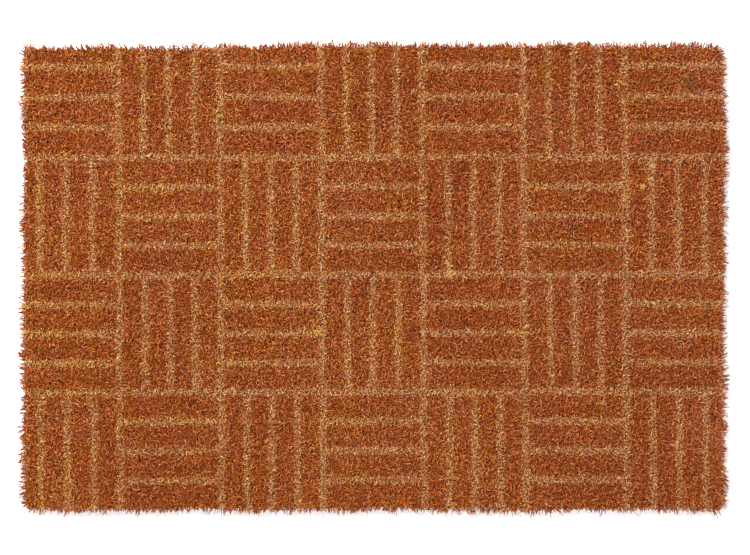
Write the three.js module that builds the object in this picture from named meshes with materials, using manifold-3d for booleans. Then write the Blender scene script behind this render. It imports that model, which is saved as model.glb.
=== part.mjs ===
// A coir door mat: cut pile of coconut fibre in two colours, rooted in a flat PVC backing.
// Rust pads of pile fill a basket-weave pattern, and natural-colour pile makes the lines
// between the pads and across them. Units are millimetres. The origin is the centre of
// the underside, +X runs along the mat's length, +Y across it and +Z up.

import * as THREE from 'three';
import { mergeVertices } from 'three/addons/utils/BufferGeometryUtils.js';
import Module from 'manifold-3d';

const wasm = await Module();
wasm.setup();

// The mat.
const MAT_LENGTH = 600;
const MAT_WIDTH = 400;
const MAT_THICKNESS = 16;
const CORNER_RADIUS = 8;
const CORNER_SEGMENTS = 6;
const BACKING_THICKNESS = 3;

// How the pile is held: its roots are sunk into pockets in the backing. GAP is the clearance
// between neighbours, and OVERLAP how far two solids reach into each other to be joined.
const ROOT_DEPTH = 1;
const ROOT_INSET = 2;
const RIB_WIDTH = 2.8;
const WEB_THICKNESS = 2;
const GAP = 0.3;
const OVERLAP = 0.5;

// The basket-weave pattern. It was cut from a longer roll, so it isn't quite centred.
const COLUMNS = 7;
const ROWS = 4;
const BLOCK_LENGTH = 86.6;
const BLOCK_WIDTH = 100.4;
const PATTERN_SHIFT_X = -1.5;
const PATTERN_SHIFT_Y = 2;
const LINE_WIDTH = 6.4;
const LINES_PER_BLOCK = 3;
const OUTER_COLUMN_PITCH = 22.6;
const TOP_ROW_PITCH = 25.9;

// Levels.
const PILE_BASE = BACKING_THICKNESS + GAP;
const ROOT_BASE = BACKING_THICKNESS - ROOT_DEPTH + GAP;
const ROOT_TOP = PILE_BASE + OVERLAP;
const WEB_TOP = PILE_BASE + WEB_THICKNESS;

const MATERIALS = {
  rust: new THREE.MeshStandardMaterial({ color: 0x93512a, roughness: 0.95, metalness: 0 }),
  natural: new THREE.MeshStandardMaterial({ color: 0xb98250, roughness: 0.95, metalness: 0 }),
  backing: new THREE.MeshStandardMaterial({ color: 0x3d2c22, roughness: 0.7, metalness: 0 }),
};

// ---- solids -------------------------------------------------------------------------

function toSolid(geometry) {
  const bare = geometry.index ? geometry.toNonIndexed() : geometry.clone();
  bare.deleteAttribute('normal');
  bare.deleteAttribute('uv');
  const merged = mergeVertices(bare);
  return new wasm.Manifold(new wasm.Mesh({
    numProp: 3,
    vertProperties: new Float32Array(merged.attributes.position.array),
    triVerts: new Uint32Array(merged.index.array),
  }));
}

function toGeometry(solid) {
  const mesh = solid.getMesh();
  const geometry = new THREE.BufferGeometry();
  geometry.setAttribute('position', new THREE.BufferAttribute(mesh.vertProperties, 3));
  geometry.setIndex(new THREE.BufferAttribute(mesh.triVerts, 1));
  const flat = geometry.toNonIndexed();
  flat.computeVertexNormals();
  return flat;
}

// A box over a rectangle {x0, x1, y0, y1}, between two levels. Its corners are set outright,
// so that boxes which share a level or an edge share it exactly.
function slab(area, bottom, top) {
  const geometry = new THREE.BoxGeometry(1, 1, 1);
  const corners = geometry.attributes.position;
  for (let i = 0; i < corners.count; i++) {
    const x = corners.getX(i) < 0 ? area.x0 : area.x1;
    const y = corners.getY(i) < 0 ? area.y0 : area.y1;
    const z = corners.getZ(i) < 0 ? bottom : top;
    corners.setXYZ(i, x, y, z);
  }
  return toSolid(geometry);
}

// The mat's outline with round corners, moved inwards by inset, from the underside up to a level.
function outline(inset, top) {
  const x = MAT_LENGTH / 2 - inset;
  const y = MAT_WIDTH / 2 - inset;
  const r = CORNER_RADIUS - inset;
  const shape = new THREE.Shape();
  shape.absarc(x - r, y - r, r, 0, Math.PI / 2);
  shape.absarc(r - x, y - r, r, Math.PI / 2, Math.PI);
  shape.absarc(r - x, r - y, r, Math.PI, 1.5 * Math.PI);
  shape.absarc(x - r, r - y, r, 1.5 * Math.PI, 2 * Math.PI);
  shape.closePath();
  const options = { depth: top, bevelEnabled: false, curveSegments: CORNER_SEGMENTS };
  return toSolid(new THREE.ExtrudeGeometry(shape, options));
}

// A rectangle made larger by the same distance on all four sides, or smaller if it is negative.
function grown(area, by) {
  return { x0: area.x0 - by, x1: area.x1 + by, y0: area.y0 - by, y1: area.y1 + by };
}

// ---- the pattern --------------------------------------------------------------------

// Where the columns meet, from left to right, with the mat's own edges at both ends.
function columnEdges() {
  const edges = [-MAT_LENGTH / 2];
  for (let i = 1; i < COLUMNS; i++) {
    edges.push((i - COLUMNS / 2) * BLOCK_LENGTH + PATTERN_SHIFT_X);
  }
  edges.push(MAT_LENGTH / 2);
  return edges;
}

// Where the rows meet, from the top row down.
function rowEdges() {
  const edges = [MAT_WIDTH / 2];
  for (let i = 1; i < ROWS; i++) {
    edges.push((ROWS / 2 - i) * BLOCK_WIDTH + PATTERN_SHIFT_Y);
  }
  edges.push(-MAT_WIDTH / 2);
  return edges;
}

const COLUMN_EDGES = columnEdges();
const ROW_EDGES = rowEdges();

// The area of a block, out to the middle of the long lines around it.
function blockArea(row, column) {
  return {
    x0: COLUMN_EDGES[column],
    x1: COLUMN_EDGES[column + 1],
    y0: ROW_EDGES[row + 1],
    y1: ROW_EDGES[row],
  };
}

function isLengthwise(row, column) {
  return (row + column) % 2 === 0;
}

// The middles of a block's inlaid lines, counted from the long line that they are parallel to.
function lineMiddles(row, column) {
  const area = blockArea(row, column);
  let start = area.x0;
  let step = BLOCK_LENGTH / (LINES_PER_BLOCK + 1);
  if (isLengthwise(row, column)) {
    start = row === ROWS - 1 ? area.y1 : area.y0;
    step = row === 0 ? TOP_ROW_PITCH : BLOCK_WIDTH / (LINES_PER_BLOCK + 1);
    step = row === ROWS - 1 ? -step : step;
  } else if (column === 0) {
    start = area.x1;
    step = -OUTER_COLUMN_PITCH;
  } else if (column === COLUMNS - 1) {
    step = OUTER_COLUMN_PITCH;
  }
  const middles = [];
  for (let i = 1; i <= LINES_PER_BLOCK; i++) {
    middles.push(start + i * step);
  }
  return middles;
}

// The area between the long lines around a block, with margin more on those sides. On the
// mat's own edge it stops at reach from the edge, outwards.
function innerArea(row, column, margin, reach) {
  const area = blockArea(row, column);
  const inset = LINE_WIDTH / 2 + margin;
  return {
    x0: column === 0 ? area.x0 - reach : area.x0 + inset,
    x1: column === COLUMNS - 1 ? area.x1 + reach : area.x1 - inset,
    y0: row === ROWS - 1 ? area.y0 - reach : area.y0 + inset,
    y1: row === 0 ? area.y1 + reach : area.y1 - inset,
  };
}

// The areas of the four stripes that the inlaid lines leave of an inner area. Each line has
// margin more on both sides.
function stripes(row, column, margin, reach) {
  const area = innerArea(row, column, margin, reach);
  const [low, high] = isLengthwise(row, column) ? ['y0', 'y1'] : ['x0', 'x1'];
  const half = LINE_WIDTH / 2 + margin;
  const middles = lineMiddles(row, column).sort((a, b) => a - b);
  const starts = [area[low], ...middles.map((middle) => middle + half)];
  const ends = [...middles.map((middle) => middle - half), area[high]];
  return starts.map((start, i) => ({ ...area, [low]: start, [high]: ends[i] }));
}

// Runs make(row, column) for each block, from the top left one.
function forEachBlock(make) {
  for (let row = 0; row < ROWS; row++) {
    for (let column = 0; column < COLUMNS; column++) {
      make(row, column);
    }
  }
}

// ---- the pieces ---------------------------------------------------------------------

// A pad's root, grown by clearance. It stays inside the mat's edge.
function padRoot(row, column, clearance) {
  const area = innerArea(row, column, GAP + ROOT_INSET - clearance, 0);
  const edge = outline(ROOT_INSET - clearance, MAT_THICKNESS);
  return slab(area, ROOT_BASE - clearance, ROOT_TOP).intersect(edge);
}

// The grooves for the ribs under the lattice's long lines. They stop short of the mat's edge.
function ribGrooves() {
  const x = MAT_LENGTH / 2 - ROOT_INSET + GAP;
  const y = MAT_WIDTH / 2 - ROOT_INSET + GAP;
  const half = RIB_WIDTH / 2 + GAP;
  const upright = COLUMN_EDGES.slice(1, -1).map((middle) => (
    { x0: middle - half, x1: middle + half, y0: -y, y1: y }
  ));
  const level = ROW_EDGES.slice(1, -1).map((middle) => (
    { x0: -x, x1: x, y0: middle - half, y1: middle + half }
  ));
  return [...upright, ...level].map((area) => slab(area, ROOT_BASE - GAP, ROOT_TOP));
}

// The PVC sheet, with a pocket for each pad's root and a groove for each of the lattice's ribs.
function backing() {
  let sheet = outline(0, BACKING_THICKNESS);
  for (const groove of ribGrooves()) {
    sheet = sheet.subtract(groove);
  }
  forEachBlock((row, column) => {
    sheet = sheet.subtract(padRoot(row, column, GAP));
  });
  return toGeometry(sheet);
}

// One pad of rust pile. A web of matted roots joins its four stripes under the inlaid lines.
function rustPad(row, column) {
  const area = innerArea(row, column, GAP, 0);
  let pad = slab(area, PILE_BASE, WEB_TOP);
  for (const stripe of stripes(row, column, GAP, 0)) {
    pad = pad.add(slab(stripe, PILE_BASE, MAT_THICKNESS));
  }
  pad = pad.intersect(outline(0, MAT_THICKNESS));
  return toGeometry(pad.add(padRoot(row, column, 0)));
}

// All the natural-colour pile, cut from one slab: the long lines keep their full depth, with
// a rib underneath, and the inlaid lines stop above the rust pads' webs.
function naturalLattice() {
  const x = MAT_LENGTH / 2;
  const y = MAT_WIDTH / 2;
  let lattice = slab({ x0: -x, x1: x, y0: -y, y1: y }, ROOT_BASE, MAT_THICKNESS);
  forEachBlock((row, column) => {
    const besideRibs = innerArea(row, column, (RIB_WIDTH - LINE_WIDTH) / 2, OVERLAP);
    lattice = lattice.subtract(slab(besideRibs, ROOT_BASE - OVERLAP, PILE_BASE));
    const aroundWeb = innerArea(row, column, 0, OVERLAP);
    lattice = lattice.subtract(slab(aroundWeb, ROOT_BASE - OVERLAP, WEB_TOP + GAP));
    for (const stripe of stripes(row, column, 0, OVERLAP)) {
      lattice = lattice.subtract(slab(stripe, ROOT_BASE - OVERLAP, MAT_THICKNESS + OVERLAP));
    }
  });
  return toGeometry(lattice.subtract(beyondRibEnds()));
}

// What is cut off the ends of the ribs, below the pile, so that they stop short of the edge.
function beyondRibEnds() {
  const x = MAT_LENGTH / 2 + OVERLAP;
  const y = MAT_WIDTH / 2 + OVERLAP;
  const all = slab({ x0: -x, x1: x, y0: -y, y1: y }, ROOT_BASE - OVERLAP, PILE_BASE);
  const inside = grown({ x0: -x, x1: x, y0: -y, y1: y }, -ROOT_INSET - OVERLAP);
  return all.subtract(slab(inside, ROOT_BASE - 2 * OVERLAP, PILE_BASE + OVERLAP));
}

function named(name, geometry, material) {
  const mesh = new THREE.Mesh(geometry, material);
  mesh.name = name;
  return mesh;
}

const doorMat = new THREE.Group();
doorMat.add(named('pvc_backing', backing(), MATERIALS.backing));
forEachBlock((row, column) => {
  doorMat.add(named(`rust_pile_r${row + 1}c${column + 1}`, rustPad(row, column), MATERIALS.rust));
});
doorMat.add(named('natural_pile_lattice', naturalLattice(), MATERIALS.natural));

export default doorMat;
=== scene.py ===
"""A coir door mat, seen from straight above on a white floor.

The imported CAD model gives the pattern, the sizes and the levels. This script grows the pile on
it: each fibre is a thin closed tube, rust or natural-coloured by where it stands in the pattern.
"""

import math

import bmesh
import bpy
import numpy as np
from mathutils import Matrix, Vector


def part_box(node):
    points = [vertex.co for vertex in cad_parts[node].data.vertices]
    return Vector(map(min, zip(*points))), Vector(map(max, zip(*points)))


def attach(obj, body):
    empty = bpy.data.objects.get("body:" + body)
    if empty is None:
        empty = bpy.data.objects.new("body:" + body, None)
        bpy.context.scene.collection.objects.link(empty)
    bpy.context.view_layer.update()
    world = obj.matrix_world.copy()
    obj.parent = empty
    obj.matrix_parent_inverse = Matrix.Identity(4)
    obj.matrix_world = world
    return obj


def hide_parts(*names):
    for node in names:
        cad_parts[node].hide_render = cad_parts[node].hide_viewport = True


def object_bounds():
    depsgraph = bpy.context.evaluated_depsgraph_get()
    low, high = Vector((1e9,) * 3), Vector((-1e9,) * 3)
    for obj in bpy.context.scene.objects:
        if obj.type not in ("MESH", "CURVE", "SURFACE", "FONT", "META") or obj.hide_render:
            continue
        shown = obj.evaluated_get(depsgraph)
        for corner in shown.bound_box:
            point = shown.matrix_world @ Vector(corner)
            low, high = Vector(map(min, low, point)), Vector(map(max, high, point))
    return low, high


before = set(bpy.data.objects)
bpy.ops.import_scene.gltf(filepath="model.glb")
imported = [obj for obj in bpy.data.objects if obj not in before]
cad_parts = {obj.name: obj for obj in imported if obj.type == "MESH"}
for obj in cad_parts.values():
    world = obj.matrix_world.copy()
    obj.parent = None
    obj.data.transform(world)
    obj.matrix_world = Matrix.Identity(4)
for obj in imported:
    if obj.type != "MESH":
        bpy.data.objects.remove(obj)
cad_low, cad_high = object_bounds()

MM = 0.001
rng = np.random.default_rng(541)

# ---- driving sizes, in millimetres ------------------------------------------------------

ROWS = 4
COLUMNS = 7
LENGTH = (cad_high.x - cad_low.x) / MM
WIDTH = (cad_high.y - cad_low.y) / MM
PILE_TOP = cad_high.z / MM
BACKING_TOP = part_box("pvc_backing")[1].z / MM
CORNER_RADIUS = 8.0
CORE_TOP = 11.4             # matted roots fill the pile up to here
LINE_GAP = 7.0              # between two stripes of one pad: a line and its clearances
LINE_WIDTH = 6.4
LINE_NARROWING = 0.6        # the fibres beside a line lean over it, so this much less is natural
LINE_SKEW_X = 0.0064        # the upright lines lean to the right on their way down
LINE_SKEW_Y = 0.0022        # the level lines rise to the right

LEFT_REACH = 1.2            # the left edge stands this much further out
FAR_SETBACK = 1.4           # the far edge is trimmed this much short of the outline
FAR_LEFT_SETBACK = 3.6      # and this much at its left end
FAR_LEFT_END = -128.0       # which reaches to here along the mat

FIELD_SPACING = 1.03        # between the roots of the fibres of the open pile
FIELD_LENGTH = 6.2          # of the part of those fibres that is modelled, down into the roots
TOP_SHARE = 0.12            # how many of those fibres lie on top of the others
EDGE_SPACING = 1.0          # between the roots of the fibres along the cut edge
EDGE_LENGTH = 13.2          # of those fibres, which are modelled down to the backing
EDGE_BAND = 9.0             # how far in from the outline the edge fibres are rooted
SHADED_RIM = 3.0                   # how far in from it the fibres are darkened with painted shade
FIBRE_RADIUS = 0.33
FLOOR_CLEARANCE = 0.6       # no fibre's middle is lower than this
ROOTED = 0.4                # how deep in the backing the edge fibres start

EVEN_CELL = 2.6             # the size of the patches that all have the same mean tone and level
GAP_CELL = 4.0              # the pile has one small gap in each square of this size
GAP_RADIUS = (0.5, 1.4)
LOCK_SIZE = 5.5             # how wide the locks are that the edge fibres draw together into
TUFT_RADIUS = 2.6
TUFTS = 26                  # small locks of fibres that stick out of the cut edge
STRAYS = 230                # long thin fibres that stick out of the cut edge
STRAY_LENGTH = 13.0
STRAY_RADIUS = 0.19
RUST_CURLS = 4600           # fibres that curl over and lie on the pile, between the lines
NATURAL_CURLS = 4200        # the same on the lines
CURL_LENGTH = 4.6
CURL_RADIUS = 0.2
SMUDGED = 90                # grey-brown fibres in one small patch

SHEET_STEP = 2.3            # between the vertices of the backing and of the matted roots
BACKING_INSET = 1.2         # how far inside the outline each of them ends
ROOTS_INSET = 4.0
ROOTS_CLEARANCE = 0.05      # between the two
PEBBLE_HEIGHT = 0.4
PEBBLE_TURN = 0.7           # radians of the pebbles' waves to a millimetre

# Golden knots of fibre in the pile, and a grey smudge on it: each place on the mat, and a radius.
# Three knots have a place of their own, and small ones are anywhere.
KNOTS = [(237.0, 96.0, 4.0), (65.0, 4.0, 4.2), (229.0, 77.0, 2.6)]
SMALL_KNOTS = 10
for _ in range(SMALL_KNOTS):
    KNOTS.append((rng.uniform(-280, 280), rng.uniform(-180, 180), rng.uniform(1.6, 2.6)))
SMUDGE = (270.0, 166.0, 3.4)

# Where along its length a fibre has its rings of vertices. The last one is the pointed tip.
PILE_STEPS = np.array([0.0, 0.45, 0.84, 1.0])
LOOSE_STEPS = np.array([0.0, 0.17, 0.34, 0.51, 0.68, 0.85, 1.0])
SIDES = 3                   # of a fibre's tube


# ---- noise --------------------------------------------------------------------------------

def smooth_noise(x, y, cell, table_size=97):
    """Value noise from -1 to 1 over the plane, with features about one cell wide."""
    table = rng.uniform(-1, 1, (table_size, table_size))
    gx, gy = x / cell + 500.0, y / cell + 500.0
    ix, iy = np.floor(gx).astype(int), np.floor(gy).astype(int)
    fx, fy = gx - ix, gy - iy
    fx, fy = fx * fx * (3 - 2 * fx), fy * fy * (3 - 2 * fy)
    x0, x1 = ix % table_size, (ix + 1) % table_size
    y0, y1 = iy % table_size, (iy + 1) % table_size
    low = table[x0, y0] * (1 - fx) + table[x1, y0] * fx
    high = table[x0, y1] * (1 - fx) + table[x1, y1] * fx
    return low * (1 - fy) + high * fy


def spread(middle, deviation, low, high, count):
    """Random numbers around a middle, kept between two limits."""
    return np.clip(rng.normal(middle, deviation, count), low, high)


def cell_of(x, y, cell):
    """The number of the square cell that each point is in, counted from 0 without gaps."""
    return np.unique(np.floor(x / cell) * 10000 + np.floor(y / cell), return_inverse=True)[1]


def even_out(values, x, y):
    """Takes the mean of each small cell away, so that only close neighbours differ."""
    number = cell_of(x, y, EVEN_CELL)
    return values - (np.bincount(number, weights=values) / np.bincount(number))[number]


# ---- the pattern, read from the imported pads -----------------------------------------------

def pad_name(row, column):
    """The CAD node of one block's rust pad."""
    return f"rust_pile_r{row + 1}c{column + 1}"


def pad_box(row, column):
    """The low and high corners of a pad, in millimetres."""
    low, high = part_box(pad_name(row, column))
    return np.array(low[:2]) / MM, np.array(high[:2]) / MM


def line_middles(row, column):
    """The middles of a pad's inlaid lines: the gaps between the tops of its stripes."""
    axis = 1 if (row + column) % 2 == 0 else 0
    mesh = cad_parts[pad_name(row, column)].data
    points = np.array([v.co for v in mesh.vertices]) / MM
    at_top = points[points[:, 2] > PILE_TOP - 0.1]
    edges = np.unique(np.round(at_top[:, axis], 2))
    is_line = np.abs(np.diff(edges) - LINE_GAP) < 0.1
    return axis, (edges[:-1] + edges[1:])[is_line] / 2


COLUMN_LINES = np.array([
    (pad_box(0, c)[1][0] + pad_box(0, c + 1)[0][0]) / 2 for c in range(COLUMNS - 1)
])
ROW_LINES = np.array([
    (pad_box(r, 0)[0][1] + pad_box(r + 1, 0)[1][1]) / 2 for r in range(ROWS - 1)
])


def block_of(x, y):
    """The row and column of the block that each point is in."""
    return np.searchsorted(-ROW_LINES, -y), np.searchsorted(COLUMN_LINES, x)


def distance_to_lines(x, y):
    """How far each point is from the middle of the nearest line of the pattern."""
    nearest = np.full(x.shape, 1e3)
    for line in COLUMN_LINES:
        nearest = np.minimum(nearest, np.abs(x - line))
    for line in ROW_LINES:
        nearest = np.minimum(nearest, np.abs(y - line))
    rows, columns = block_of(x, y)
    for row in range(ROWS):
        for column in range(COLUMNS):
            inside = (rows == row) & (columns == column)
            axis, middles = line_middles(row, column)
            along = (x, y)[axis][inside]
            for middle in middles:
                nearest[inside] = np.minimum(nearest[inside], np.abs(along - middle))
    return nearest


def skewed_distance(x, y):
    """The distance to the lines as they really run: skewed a little, and wandering."""
    wander_x = 0.45 * smooth_noise(x, y, 26) + 0.25 * smooth_noise(x, y, 9)
    wander_y = 0.45 * smooth_noise(x, y, 26) + 0.25 * smooth_noise(x, y, 9)
    return distance_to_lines(x + LINE_SKEW_X * y + wander_x, y - LINE_SKEW_Y * x + wander_y)


def spot_strength(x, y, spots):
    """1 at the middle of a spot, falling to 0 around it."""
    strength = np.zeros(x.shape)
    for spot_x, spot_y, radius in spots:
        distance = np.hypot(x - spot_x, y - spot_y)
        strength = np.maximum(strength, np.exp(-(distance / radius) ** 2))
    return strength


def is_natural(x, y):
    """True for the natural-coloured fibres: most of those in a line, a few beside it, and knots."""
    half = (LINE_WIDTH - LINE_NARROWING) / 2 + 0.4 * smooth_noise(x, y, 14)
    half += rng.normal(0, 0.4, x.shape)
    share = 0.95 + 0.05 * smooth_noise(x, y, 18)
    in_line = (skewed_distance(x, y) < half) & (rng.uniform(0, 1, x.shape) < share)
    return in_line | (spot_strength(x, y, KNOTS) > 0.5)


# ---- the outline --------------------------------------------------------------------------

def edge_depth(x, y):
    """How far inside the trimmed outline each point is, and the direction out of it."""
    qx = np.abs(x) - (LENGTH / 2 - CORNER_RADIUS)
    qy = np.abs(y) - (WIDTH / 2 - CORNER_RADIUS)
    out_x, out_y = np.maximum(qx, 0), np.maximum(qy, 0)
    reach = np.hypot(out_x, out_y)
    depth = CORNER_RADIUS - reach - np.minimum(np.maximum(qx, qy), 0)
    in_corner = reach > 1e-6
    nx = np.where(in_corner, out_x / np.maximum(reach, 1e-6), qx > qy) * np.sign(x)
    ny = np.where(in_corner, out_y / np.maximum(reach, 1e-6), qx <= qy) * np.sign(y)
    depth += LEFT_REACH * np.maximum(-nx, 0) - far_setback(x) * np.maximum(ny, 0) - waver(x, y)
    return depth, nx, ny


def waver(x, y):
    """How far the cut edge wavers in and out of a straight line."""
    return 0.5 * np.sin(x / 29 + y / 17) + 0.45 * np.sin(x / 12.5 - y / 41 + 2)


def far_setback(x):
    """How far short of the outline the far edge is trimmed, with a soft step along it."""
    left_end = 1 / (1 + np.exp((x - FAR_LEFT_END) / 4))
    return FAR_SETBACK + (FAR_LEFT_SETBACK - FAR_SETBACK) * left_end


def scatter(spacing, low_depth, high_depth):
    """Points spread evenly but not regularly over the mat, between two depths from its outline."""
    across = np.arange(-LENGTH / 2, LENGTH / 2, spacing)
    down = np.arange(-WIDTH / 2, WIDTH / 2, spacing)
    x, y = (grid.ravel() for grid in np.meshgrid(across, down))
    x = x + rng.uniform(0, 1, x.shape) * spacing
    y = y + rng.uniform(0, 1, y.shape) * spacing
    depth = edge_depth(x, y)[0]
    keep = (depth > low_depth) & (depth < high_depth)
    return x[keep], y[keep]


# ---- fibres -------------------------------------------------------------------------------

def grow(steps, x, y, length, lean_start, lean_end, heading, turn):
    """The centre lines of fibres, as points at steps, from roots at level 0.

    Each fibre leans away from upright by lean_start at its root and lean_end at its tip, and
    its heading in plan turns by turn on the way.
    """
    paths = np.zeros((len(x), len(steps), 3))
    paths[:, 0, 0] = x
    paths[:, 0, 1] = y
    for i, step in enumerate(np.diff(steps)):
        along = (steps[i] + steps[i + 1]) / 2
        lean = lean_start + (lean_end - lean_start) * along
        way = heading + turn * along
        sideways = np.sin(lean) * length * step
        paths[:, i + 1, 0] = paths[:, i, 0] + sideways * np.cos(way)
        paths[:, i + 1, 1] = paths[:, i, 1] + sideways * np.sin(way)
        paths[:, i + 1, 2] = paths[:, i, 2] + np.cos(lean) * length * step
    return paths


def gather(paths, steps, strength):
    """Draws neighbouring fibres together in plan into small locks, most of all at their tips."""
    x, y = paths[:, 0, 0], paths[:, 0, 1]
    shift_x, shift_y = (0.6 * LOCK_SIZE * smooth_noise(x, y, 1.7 * LOCK_SIZE) for _ in range(2))
    lock = cell_of(x + shift_x, y + shift_y, LOCK_SIZE)
    size = np.bincount(lock)
    for i, along in enumerate(steps):
        for axis in (0, 1):
            middle = np.bincount(lock, weights=paths[:, i, axis]) / size
            paths[:, i, axis] += strength * along ** 1.5 * (middle[lock] - paths[:, i, axis])


def lift_to(paths, top):
    """Moves each fibre up or down so that its highest point is at top."""
    paths[:, :, 2] += (top - paths[:, :, 2].max(axis=1))[:, None]


def centre(paths):
    """Moves each fibre so that it is its visible half, and not its root, that is where it was."""
    paths[:, :, :2] -= 0.7 * (paths[:, -1:, :2] - paths[:, :1, :2])


def press_down(paths, limit):
    """Flattens the fibres that would reach above a limit, and keeps all of them off the floor."""
    paths[:, :, 2] *= np.minimum(limit / paths[:, :, 2].max(axis=1), 1)[:, None]
    paths[:, :, 2] = np.maximum(paths[:, :, 2], FLOOR_CLEARANCE)


def open_gaps(paths):
    """Moves fibres aside from small gaps, one to a cell, where the depth of the pile shows."""
    x, y = paths[:, -1, 0], paths[:, -1, 1]
    column, row = np.floor(x / GAP_CELL), np.floor(y / GAP_CELL)
    size = 251
    across, down, width = rng.uniform(0, 1, (3, size, size))
    at = column.astype(int) % size, row.astype(int) % size
    from_x = x - (column + 0.2 + 0.6 * across[at]) * GAP_CELL
    from_y = y - (row + 0.2 + 0.6 * down[at]) * GAP_CELL
    distance = np.maximum(np.hypot(from_x, from_y), 1e-6)
    smallest, largest = GAP_RADIUS
    radius = smallest + (largest - smallest) * width[at]
    push = np.maximum(radius - distance, 0) / distance
    paths[:, :, 0] += (push * from_x)[:, None]
    paths[:, :, 1] += (push * from_y)[:, None]


def hold_inside(paths):
    """Pulls back the fibres of the open pile that would reach far over the outline."""
    depth, nx, ny = edge_depth(paths[:, :, 0], paths[:, :, 1])
    over = np.maximum(0.5 - depth, 0)
    paths[:, :, 0] -= over * nx
    paths[:, :, 1] -= over * ny


def pile_level(x, y):
    """The level of the cut top of the pile, a little uneven as the mat has been handled."""
    return PILE_TOP - 0.6 + 0.25 * smooth_noise(x, y, 60) + 0.1 * smooth_noise(x, y, 12)


def field_fibres():
    """The fibres of the whole pile: most stand up, and pale ones on top of them curl over."""
    x, y = scatter(FIELD_SPACING, 1.0, 1e3)
    count = len(x)
    on_top = rng.uniform(0, 1, count) < TOP_SHARE
    heading = rng.uniform(-math.pi, math.pi, count)
    turn = rng.normal(0, 1.2, count)
    lean_start = np.radians(spread(10, 8, 0, 45, count) + 18 * on_top)
    lean_end = np.radians(spread(32, 20, 0, 80, count) + 56 * on_top)
    length = spread(FIELD_LENGTH, 1.0, 4.5, 9, count)
    paths = grow(PILE_STEPS, x, y, length, lean_start, lean_end, heading, turn)
    centre(paths)
    open_gaps(paths)
    lift_to(paths, pile_level(x, y) + even_out(rng.normal(0, 0.5, count), x, y) + 0.5 * on_top)
    radius = spread(FIBRE_RADIUS, 0.05, 0.2, 0.46, count) * np.where(on_top, 0.7, 1)
    hold_inside(paths)
    return paths, radius, 0.32 * on_top


def side_splay(nx, ny):
    """How far the fibres of each side lean out: most along the far side, least along the near."""
    far, near, left, right = (np.maximum(side, 0) for side in (ny, -ny, -nx, nx))
    return 1.0 + 0.24 * far - 0.2 * near + 0.1 * left - 0.04 * right


def tuft_strength(x, y):
    """From 0 to 1: how much each edge fibre belongs to one of the few tufts that stick out."""
    strength = np.zeros(len(x))
    for spot in rng.choice(len(x), TUFTS, replace=False):
        distance = np.hypot(x - x[spot], y - y[spot])
        strength = np.maximum(strength, np.exp(-(distance / TUFT_RADIUS) ** 2))
    return strength


def edge_fibres():
    """The full-length fibres along the cut edge, which splay outwards in tufts."""
    x, y = scatter(EDGE_SPACING, 1.6, EDGE_BAND)
    count = len(x)
    depth, nx, ny = edge_depth(x, y)
    near = 1 - depth / EDGE_BAND
    uneven = 1.1 * smooth_noise(x, y, 6) + smooth_noise(x, y, 13)
    out = (10 + 35 * near + 14 * uneven * near) * side_splay(nx, ny)
    out += 24 * near * (rng.uniform(0, 1, count) < 0.12)
    out += 30 * tuft_strength(x, y)
    lean_start = np.radians(0.5 * out + rng.normal(0, 5, count))
    lean_end = np.radians(out * 1.25 + rng.normal(0, 13, count))
    heading = np.arctan2(ny, nx) + 0.9 * smooth_noise(x, y, 8) + rng.normal(0, 0.45, count)
    turn = rng.normal(0, 0.6, count)
    length = spread(EDGE_LENGTH, 1.1, 10, 17, count)
    paths = grow(PILE_STEPS, x, y, length, lean_start, lean_end, heading, turn)
    gather(paths, PILE_STEPS, 0.5)
    paths[:, :, 2] += BACKING_TOP - ROOTED
    press_down(paths, pile_level(x, y) + rng.uniform(-0.4, 0.6, count))
    return paths, spread(FIBRE_RADIUS, 0.06, 0.18, 0.48, count), np.zeros(count)


def stray_fibres():
    """Long thin fibres that stick out of the cut edge, most of them at the far and right sides."""
    x, y = scatter(1.6, 2.0, 5.0)
    _, nx, ny = edge_depth(x, y)
    weight = 1 + 1.2 * np.maximum(ny, 0) + 0.4 * np.maximum(nx, 0)
    chosen = rng.choice(len(x), STRAYS, replace=False, p=weight / weight.sum())
    x, y, nx, ny = x[chosen], y[chosen], nx[chosen], ny[chosen]
    heading = np.arctan2(ny, nx) + rng.normal(0, 0.65, STRAYS)
    turn = rng.normal(0, 0.7, STRAYS)
    lean_start = np.radians(spread(38, 12, 15, 60, STRAYS))
    lean_end = np.radians(spread(74, 12, 45, 98, STRAYS))
    length = spread(STRAY_LENGTH, 3.2, 8, 21, STRAYS)
    paths = grow(LOOSE_STEPS, x, y, length, lean_start, lean_end, heading, turn)
    paths[:, :, 2] += spread(8.0, 1.8, 4, 11, STRAYS)[:, None]
    press_down(paths, PILE_TOP + rng.uniform(0, 4, STRAYS))
    radius = spread(STRAY_RADIUS, 0.04, 0.12, 0.28, STRAYS)
    return paths, radius, spread(0.4, 0.3, 0, 1, STRAYS)


def curled_fibres(count, on_lines):
    """Pale fibres that curl over and lie on the pile, either on the lines or between them."""
    x, y = scatter(1.3, 2.5, 1e3)
    chosen = rng.permutation(np.flatnonzero(is_natural(x, y) == on_lines))[:count]
    return lying_fibres(x[chosen], y[chosen], 0.8 if on_lines else 0.5)


def smudge_fibres():
    """Grey-brown fibres that lie together in one small patch of the pile."""
    x, y, radius = SMUDGE
    return lying_fibres(rng.normal(x, radius, SMUDGED), rng.normal(y, radius, SMUDGED), 0.5)


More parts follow.
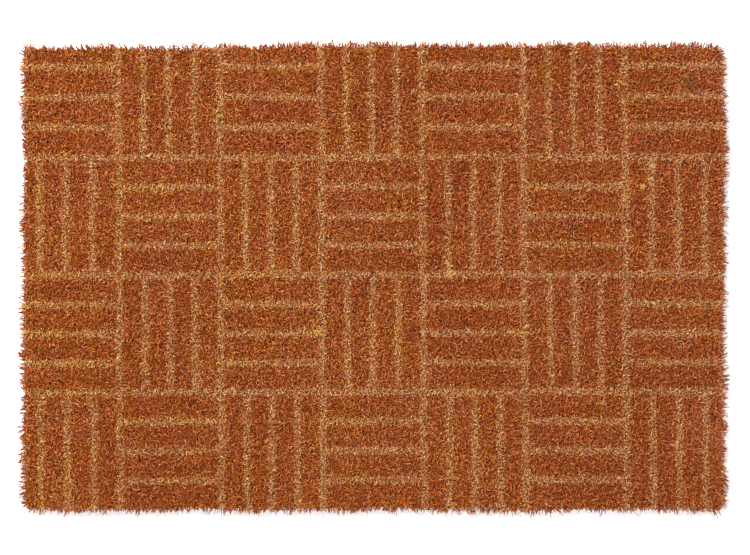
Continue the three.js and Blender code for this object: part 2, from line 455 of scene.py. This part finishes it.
def lying_fibres(x, y, tone):
    """Fibres that curl over and lie on the pile, a few of them long."""
    count = len(x)
    heading = rng.uniform(-math.pi, math.pi, count)
    turn = rng.normal(0, 2.2, count)
    lean_start = np.radians(spread(58, 12, 30, 85, count))
    lean_end = np.radians(spread(97, 9, 80, 120, count))
    length = spread(CURL_LENGTH, 1.4, 2.6, 9, count)
    length *= np.where(rng.uniform(0, 1, count) < 0.012, 2.8, 1)
    paths = grow(LOOSE_STEPS, x, y, length, lean_start, lean_end, heading, turn)
    lift_to(paths, pile_level(x, y) + rng.uniform(0, 0.6, count))
    return paths, spread(CURL_RADIUS, 0.04, 0.12, 0.32, count), spread(tone, 0.16, 0, 1, count)


# ---- meshes -------------------------------------------------------------------------------

def add_object(name, data):
    """A new object in the scene, at the origin."""
    thing = bpy.data.objects.new(name, data)
    bpy.context.scene.collection.objects.link(thing)
    return thing


def tube_faces(rings):
    """The faces of one closed tube with a pointed tip, as vertex numbers."""
    quads, triangles = [], [[2, 1, 0]]
    tip = rings * SIDES
    for i in range(rings - 1):
        for j in range(SIDES):
            here, there = i * SIDES, (i + 1) * SIDES
            k = (j + 1) % SIDES
            quads.append([here + j, here + k, there + k, there + j])
    for j in range(SIDES):
        triangles.append([tip - SIDES + j, tip - SIDES + (j + 1) % SIDES, tip])
    return quads + triangles


def tube_points(paths, radius):
    """The vertices of three-sided tubes along the paths, thinner towards their tips."""
    count, rings = paths.shape[0], paths.shape[1] - 1
    forward = np.gradient(paths, axis=1)
    forward /= np.linalg.norm(forward, axis=2, keepdims=True)
    reference = np.broadcast_to(rng.normal(0, 1, (count, 1, 3)), forward.shape)
    side = np.cross(forward, reference)
    side /= np.linalg.norm(side, axis=2, keepdims=True)
    other = np.cross(forward, side)
    angles = np.arange(SIDES) * 2 * math.pi / SIDES
    around = (
        side[:, :rings, None] * np.cos(angles)[:, None]
        + other[:, :rings, None] * np.sin(angles)[:, None]
    )
    taper = np.linspace(1, 0.85, rings)
    thick = (radius[:, None] * taper)[:, :, None, None]
    walls = (paths[:, :rings, None] + around * thick).reshape(count, rings * SIDES, 3)
    return np.concatenate([walls, paths[:, -1:]], axis=1)


def make_object(name, points, corners, starts, material):
    """A smooth-shaded object, from its points in millimetres and the corners of its faces."""
    mesh = bpy.data.meshes.new(name)
    mesh.vertices.add(len(points))
    mesh.vertices.foreach_set("co", (points * MM).astype(np.float32).ravel())
    mesh.loops.add(len(corners))
    mesh.loops.foreach_set("vertex_index", corners.astype(np.int32))
    mesh.polygons.add(len(starts))
    mesh.polygons.foreach_set("loop_start", starts.astype(np.int32))
    mesh.polygons.foreach_set("use_smooth", np.ones(len(starts), bool))
    mesh.update(calc_edges=True)
    mesh.materials.append(material)
    return add_object(name, mesh)


def put_attribute(mesh, name, values):
    """Stores one number for each vertex, for a material to read."""
    mesh.attributes.new(name, "FLOAT", "POINT")
    mesh.attributes[name].data.foreach_set("value", values.astype(np.float32))


def put_cells(mesh, count, corners, along):
    """A UV map with one square cell for each tube: around it one way and along it the other."""
    cells = math.ceil(math.sqrt(count))
    around = np.append(np.tile([0.1, 0.5, 0.9], (len(along) - 1) // SIDES), 0.5)
    local = np.stack([around, 0.1 + 0.8 * along], axis=1)
    index = np.arange(count)
    corner = np.stack([index % cells, index // cells], axis=1)
    uv = (corner[:, None] + local[corners]) / cells
    layer = mesh.uv_layers.new(name="OFBake")
    layer.data.foreach_set("uv", uv.astype(np.float32).ravel())


def tube_object(name, steps, paths, radius, shades, material):
    """One object of closed tubes, one along each path. Shades are attributes, one value a tube."""
    count = len(paths)
    faces = tube_faces(len(steps) - 1)
    corners = np.array([corner for face in faces for corner in face])
    sizes = np.array([len(face) for face in faces])
    along = np.append(np.repeat(steps[:-1], SIDES), 1.0)
    tube = np.arange(count)[:, None]
    all_corners = (tube * len(along) + corners).ravel()
    starts = (tube * len(corners) + np.cumsum(sizes) - sizes).ravel()
    points = tube_points(paths, radius).reshape(-1, 3)
    thing = make_object(name, points, all_corners, starts, material)
    put_attribute(thing.data, "along", np.tile(along, count))
    for attribute, values in shades.items():
        put_attribute(thing.data, attribute, np.repeat(values, len(along)))
    put_cells(thing.data, count, corners, along)
    return thing


# ---- materials ----------------------------------------------------------------------------

def new_material(name):
    """A material with its node tree and its shader."""
    material = bpy.data.materials.new(name)
    material.use_nodes = True
    tree = material.node_tree
    shader = tree.nodes["Principled BSDF"]
    return material, tree, shader


def linear(red, green, blue):
    """A linear colour from 8-bit sRGB values."""
    def one(value):
        value = value / 255
        return value / 12.92 if value <= 0.04045 else ((value + 0.055) / 1.055) ** 2.4
    return (one(red), one(green), one(blue), 1.0)


def ramp(tree, source, stops):
    """A colour for each value of the source, from stops of a position and a colour."""
    node = tree.nodes.new("ShaderNodeValToRGB")
    for _ in stops[2:]:
        node.color_ramp.elements.new(0.5)
    for element, (position, colour) in zip(node.color_ramp.elements, stops):
        element.position = position
        element.color = colour
    tree.links.new(source, node.inputs["Fac"])
    return node.outputs["Color"]


def attribute(tree, name):
    """A number stored on the mesh."""
    node = tree.nodes.new("ShaderNodeAttribute")
    node.attribute_name = name
    return node.outputs["Fac"]


def noise(tree, scale, detail=3.0):
    """Noise in the object's own space, with scale features to a metre."""
    node = tree.nodes.new("ShaderNodeTexNoise")
    node.inputs["Scale"].default_value = scale
    node.inputs["Detail"].default_value = detail
    where = tree.nodes.new("ShaderNodeTexCoord")
    tree.links.new(where.outputs["Object"], node.inputs["Vector"])
    return node.outputs["Fac"]


def map_range(tree, source, low, high, new_low, new_high):
    """The source, with the range from low to high stretched to a new one and clamped."""
    node = tree.nodes.new("ShaderNodeMapRange")
    node.inputs["From Min"].default_value = low
    node.inputs["From Max"].default_value = high
    node.inputs["To Min"].default_value = new_low
    node.inputs["To Max"].default_value = new_high
    tree.links.new(source, node.inputs["Value"])
    return node.outputs["Result"]


def mix(tree, factor, a, b):
    """The colour a where the factor is 0, and b where it is 1."""
    node = tree.nodes.new("ShaderNodeMix")
    node.data_type = "RGBA"
    tree.links.new(factor, node.inputs["Factor"])
    for name, colour in (("A_Color", a), ("B_Color", b)):
        socket = next(s for s in node.inputs if s.identifier == name)
        if isinstance(colour, tuple):
            socket.default_value = colour
        else:
            tree.links.new(colour, socket)
    return next(s for s in node.outputs if s.identifier == "Result_Color")


def vector_math(tree, operation, a, b):
    """Two colours multiplied, or one scaled by a number."""
    node = tree.nodes.new("ShaderNodeVectorMath")
    node.operation = operation
    tree.links.new(a, node.inputs[0])
    tree.links.new(b, node.inputs[3 if operation == "SCALE" else 1])
    return node.outputs["Vector"]


def bump(tree, shader, height, strength, distance):
    """Bump in the shader's normal, with its distance in metres."""
    node = tree.nodes.new("ShaderNodeBump")
    node.inputs["Strength"].default_value = strength
    node.inputs["Distance"].default_value = distance
    tree.links.new(height, node.inputs["Height"])
    tree.links.new(node.outputs["Normal"], shader.inputs["Normal"])


def tone_ramp(tree, colours):
    """A dark, a middle and a pale colour, picked by the tone of each fibre."""
    stops = [(position, linear(*colour)) for position, colour in zip((0.0, 0.5, 1.0), colours)]
    return ramp(tree, attribute(tree, "tone"), stops)


def fibre_material(name, plain, golden, dusty):
    """Coir: each fibre has its own tone, and is darker and redder towards its root, which is
    painted shade for the depth of the pile.

    The attribute "gold" turns it golden where it is above 0, and dusty where it is below.
    """
    material, tree, shader = new_material(name)
    gold = attribute(tree, "gold")
    colour = tone_ramp(tree, plain)
    colour = mix(tree, map_range(tree, gold, 0, 1, 0, 1), colour, tone_ramp(tree, golden))
    colour = mix(tree, map_range(tree, gold, 0, -1, 0, 1), colour, tone_ramp(tree, dusty))
    # Painted shade: the colour darkens and reddens from the tip down to the root, for the shade
    # deep in the pile.
    painted_root_shade = ramp(tree, attribute(tree, "along"), [
        (0.0, (0.36, 0.11, 0.01, 1)),
        (0.55, (0.6, 0.38, 0.13, 1)),
        (1.0, (1.0, 1.0, 1.0, 1)),
    ])
    colour = vector_math(tree, "MULTIPLY", colour, painted_root_shade)
    streaks = map_range(tree, noise(tree, 900.0), 0.3, 0.7, 0.9, 1.1)
    colour = vector_math(tree, "SCALE", colour, streaks)
    tree.links.new(colour, shader.inputs["Base Color"])
    rough = map_range(tree, noise(tree, 500.0), 0.3, 0.7, 0.34, 0.52)
    tree.links.new(rough, shader.inputs["Roughness"])
    bump(tree, shader, noise(tree, 2500.0, 2.0), 0.4, 0.00008)
    shader.inputs["Specular IOR Level"].default_value = 0.22
    return material


rust_coir = fibre_material(
    "rust_coir",
    plain=((130, 43, 0), (195, 104, 30), (250, 190, 132)),
    golden=((126, 50, 0), (194, 109, 8), (246, 196, 104)),
    dusty=((120, 44, 14), (190, 98, 56), (242, 184, 150)),
)
natural_coir = fibre_material(
    "natural_coir",
    plain=((146, 74, 18), (222, 150, 92), (252, 230, 194)),
    golden=((150, 86, 4), (235, 169, 72), (255, 238, 160)),
    dusty=((142, 76, 34), (224, 154, 106), (254, 228, 202)),
)
weathered_coir = fibre_material(
    "weathered_coir",
    plain=((74, 54, 40), (136, 98, 66), (206, 160, 112)),
    golden=((84, 60, 28), (160, 116, 60), (224, 180, 116)),
    dusty=((66, 54, 48), (110, 92, 80), (180, 158, 136)),
)


def root_material():
    """The mass of matted roots between the fibres, tinted as the fibres in it are, and darker than
    them as painted shade for the depth of the pile.
    """
    material, tree, shader = new_material("matted_roots")
    grain = noise(tree, 1200.0, 4.0)
    # Painted shade: the roots are coloured much darker than the fibres, for the shade at the foot
    # of the pile.
    rust = ramp(tree, grain, [(0.3, linear(92, 32, 2)), (0.7, linear(140, 60, 10))])
    natural = ramp(tree, grain, [(0.3, linear(112, 62, 18)), (0.7, linear(164, 104, 48))])
    colour = mix(tree, attribute(tree, "natural"), rust, natural)
    tree.links.new(colour, shader.inputs["Base Color"])
    bump(tree, shader, grain, 0.8, 0.0006)
    shader.inputs["Roughness"].default_value = 0.9
    return material


def pvc_material():
    """Soft dark brown PVC, a little mottled by the fibre in it."""
    material, tree, shader = new_material("pvc")
    grain = noise(tree, 260.0, 5.0)
    colour = ramp(tree, grain, [(0.3, linear(50, 36, 28)), (0.7, linear(72, 53, 40))])
    tree.links.new(colour, shader.inputs["Base Color"])
    tree.links.new(map_range(tree, grain, 0.3, 0.7, 0.5, 0.72), shader.inputs["Roughness"])
    bump(tree, shader, noise(tree, 1800.0), 0.3, 0.0002)
    return material


# ---- pieces -------------------------------------------------------------------------------

def fibre_tone(x, y, natural):
    """From 0, dark, to 1, pale: mostly each fibre's own, and a little shared around it."""
    shared = 0.03 * smooth_noise(x, y, 12) + 0.05 * smooth_noise(x, y, 45)
    spots = 0.6 * spot_strength(x, y, KNOTS) - 0.2 * spot_strength(x, y, [SMUDGE])
    own = even_out(rng.normal(0, 1, x.shape), x, y) * np.where(natural, 0.33, 0.24)
    return 0.4 + own + shared + spots


def fibre_gold(x, y, natural):
    """From -1 to 1, dusty to golden: in patches, and golden in the lines near the left edge."""
    few = rng.uniform(0, 1, x.shape) < 0.02
    left = 0.4 * np.exp(-(x + LENGTH / 2) / 26) * natural
    patches = 0.35 * smooth_noise(x, y, 8) + 0.35 * smooth_noise(x, y, 24)
    patches += rng.normal(0, 0.1, x.shape)
    slope = -0.15 * x / (LENGTH / 2)
    spots = 1.2 * spot_strength(x, y, KNOTS) - spot_strength(x, y, [SMUDGE])
    return np.clip(left + patches + slope + 0.8 * few + spots, -1, 1)


def place_piece(piece, slot, *replaced):
    """Puts a piece on the mat's one body, in the place of the CAD nodes that it replaces."""
    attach(piece, "root")
    if replaced:
        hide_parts(*replaced)


def make_pile():
    """All the standing fibres: a rust piece for each pad, and a natural one for each column."""
    paths, radius, paler = (np.concatenate(pair) for pair in zip(field_fibres(), edge_fibres()))
    middle = (paths[:, 1] + paths[:, 2]) / 2
    x, y = middle[:, 0], middle[:, 1]
    natural = is_natural(x, y)
    # Painted shade: the fibres close to the cut edge get a darker tone, for the shadow beneath the
    # edge.
    rim = np.clip(1 - edge_depth(x, y)[0] / SHADED_RIM, 0, 1)
    tone = np.clip(fibre_tone(x, y, natural) + paler - 0.12 * rim, 0, 1)
    gold = fibre_gold(x, y, natural)
    rows, columns = block_of(x, y)

    def make(name, chosen, material, slot, node):
        shades = {"tone": tone[chosen], "gold": gold[chosen]}
        piece = tube_object(name, PILE_STEPS, paths[chosen], radius[chosen], shades, material)
        place_piece(piece, slot, node)

    for column in range(COLUMNS):
        here = columns == column
        name = f"natural_fibres_c{column + 1}"
        make(name, here & natural, natural_coir, "natural_coir", "natural_pile_lattice")
        for row in range(ROWS):
            name = f"rust_fibres_r{row + 1}c{column + 1}"
            chosen = here & (rows == row) & ~natural
            make(name, chosen, rust_coir, "rust_coir", pad_name(row, column))


def make_loose_fibres():
    """The fibres that lie on the pile or stick out of it: a piece of each kind."""
    for name, (paths, radius, tone), material, slot in (
        ("stray_fibres", stray_fibres(), weathered_coir, "natural_coir"),
        ("smudge_fibres", smudge_fibres(), weathered_coir, "natural_coir"),
        ("natural_curls", curled_fibres(NATURAL_CURLS, True), natural_coir, "natural_coir"),
        ("rust_curls", curled_fibres(RUST_CURLS, False), rust_coir, "rust_coir"),
    ):
        shades = {"tone": tone, "gold": rng.uniform(-0.3, 0.5, len(tone))}
        piece = tube_object(name, LOOSE_STEPS, paths, radius, shades, material)
        place_piece(piece, slot)


def sheet_object(name, inset, top_level, bottom_level, material):
    """A closed sheet with the mat's outline, moved inwards by inset, between two shaped levels.

    It also gives the place on the mat of each vertex of its top, as grids of x and of y.
    """
    across = int((LENGTH - 2 * inset) / SHEET_STEP)
    down = int((WIDTH - 2 * inset) / SHEET_STEP)
    u, v = np.meshgrid(np.linspace(-1, 1, across + 1), np.linspace(-1, 1, down + 1), indexing="ij")
    x, y = u * (LENGTH / 2 - inset), v * (WIDTH / 2 - inset)
    depth, nx, ny = edge_depth(x, y)
    over = np.maximum(inset - depth, 0)
    x, y = x - over * nx, y - over * ny
    levels = (top_level(x, y), bottom_level(x, y))
    points = np.concatenate([
        np.stack([x.ravel(), y.ravel(), level.ravel()], axis=1) for level in levels
    ])
    index = np.arange(x.size).reshape(x.shape)
    a, b, c, d = index[:-1, :-1], index[1:, :-1], index[1:, 1:], index[:-1, 1:]
    upper = np.stack([a, b, c, d], axis=-1).reshape(-1, 4)
    lower = upper[:, ::-1] + x.size
    rim = np.concatenate([index[:, 0], index[-1, 1:], index[-2::-1, -1], index[0, -2:0:-1]])
    following = np.roll(rim, -1)
    wall = np.stack([rim, rim + x.size, following + x.size, following], axis=1)
    corners = np.concatenate([upper, lower, wall]).ravel()
    return make_object(name, points, corners, np.arange(0, len(corners), 4), material), x, y


def make_roots():
    """The mass of matted roots at the foot of the pile."""
    def top(x, y):
        return CORE_TOP + 0.8 * smooth_noise(x, y, 4.6) + 0.4 * smooth_noise(x, y, 9)

    def bottom(x, y):
        return np.full_like(x, BACKING_TOP + ROOTS_CLEARANCE)

    roots, x, y = sheet_object("matted_roots", ROOTS_INSET, top, bottom, root_material())
    natural = np.clip(1.5 - skewed_distance(x, y) / (LINE_WIDTH / 2), 0, 1).ravel()
    put_attribute(roots.data, "natural", np.tile(natural, 2))
    place_piece(roots, "rust_coir")


def make_backing():
    """The PVC sheet, with a low pebbled relief on its underside."""
    def top(x, y):
        return np.full_like(x, BACKING_TOP)

    def pebbles(x, y):
        waves = np.sin(x * PEBBLE_TURN) * np.sin(y * PEBBLE_TURN)
        return PEBBLE_HEIGHT / 2 * (1 + waves)

    backing = sheet_object("pvc_sheet", BACKING_INSET, top, pebbles, pvc_material())[0]
    place_piece(backing, "pvc", "pvc_backing")


# ---- the stage ----------------------------------------------------------------------------

FRAME_WIDTH = 640.6         # what the camera sees across the picture, at the top of the pile
LENS = 85.0
SENSOR = 36.0
CAMERA_X = 0.64             # the mat is this little off the middle of the picture
CAMERA_Y = -0.43
FLOOR_RADIUS = 5.0          # the stage is in metres
RIM_RADIUS = 1.0
WALL_HEIGHT = 3.5
FLOOR_GLOW = 0.4
SKY_STRENGTH = 0.3


def make_camera():
    """A long lens, looking straight down."""
    camera = bpy.data.cameras.new("camera")
    camera.lens = LENS
    camera.sensor_width = SENSOR
    thing = add_object("camera", camera)
    height = PILE_TOP + FRAME_WIDTH * LENS / SENSOR
    thing.location = (CAMERA_X * MM, CAMERA_Y * MM, height * MM)
    bpy.context.scene.camera = thing


def make_floor():
    """A round white floor that curves up at its rim and glows a little, as a light table does."""
    rings = [(radius, 0.0) for radius in (0.0, FLOOR_RADIUS / 2, FLOOR_RADIUS)]
    for angle in np.radians(np.arange(10, 91, 10)):
        radius = FLOOR_RADIUS + RIM_RADIUS * math.sin(angle)
        rings.append((radius, RIM_RADIUS * (1 - math.cos(angle))))
    rings.append((FLOOR_RADIUS + RIM_RADIUS, WALL_HEIGHT))
    mesh = bpy.data.meshes.new("floor")
    shape = bmesh.new()
    profile = [shape.verts.new((radius, 0, height)) for radius, height in rings]
    edges = [shape.edges.new(pair) for pair in zip(profile, profile[1:])]
    bmesh.ops.spin(
        shape, geom=profile + edges, axis=(0, 0, 1), cent=(0, 0, 0), angle=2 * math.pi, steps=96,
    )
    bmesh.ops.remove_doubles(shape, verts=shape.verts, dist=0.001)
    bmesh.ops.recalc_face_normals(shape, faces=shape.faces)
    for face in shape.faces:
        face.smooth = True
    shape.to_mesh(mesh)
    shape.free()
    material, _, shader = new_material("white_floor")
    shader.inputs["Base Color"].default_value = (0.93, 0.93, 0.93, 1)
    shader.inputs["Roughness"].default_value = 0.9
    shader.inputs["Emission Color"].default_value = (1, 1, 1, 1)
    shader.inputs["Emission Strength"].default_value = FLOOR_GLOW
    mesh.materials.append(material)
    floor = add_object("floor", mesh)


def make_light(name, place, size, power):
    """A round lamp that faces the mat, with its place and size in metres and its power in watts."""
    light = bpy.data.lights.new(name, "AREA")
    light.shape = "DISK"
    light.size = size
    light.energy = power
    thing = add_object(name, light)
    thing.location = place
    thing.rotation_mode = "QUATERNION"
    thing.rotation_quaternion = (-Vector(place)).to_track_quat("-Z", "Y")


def make_world():
    """An even white sky, and plain colours in the picture."""
    world = bpy.data.worlds.new("studio")
    world.use_nodes = True
    background = world.node_tree.nodes["Background"]
    background.inputs["Color"].default_value = (1, 1, 1, 1)
    background.inputs["Strength"].default_value = SKY_STRENGTH
    bpy.context.scene.world = world
    bpy.context.scene.view_settings.view_transform = "Standard"


make_camera()
make_floor()
make_world()
make_light("key", (-0.82, 0.98, 2.2), 0.28, 122)
make_light("fill", (0.8, -1.0, 2.2), 1.6, 14)
make_backing()
make_roots()
make_pile()
make_loose_fibres()
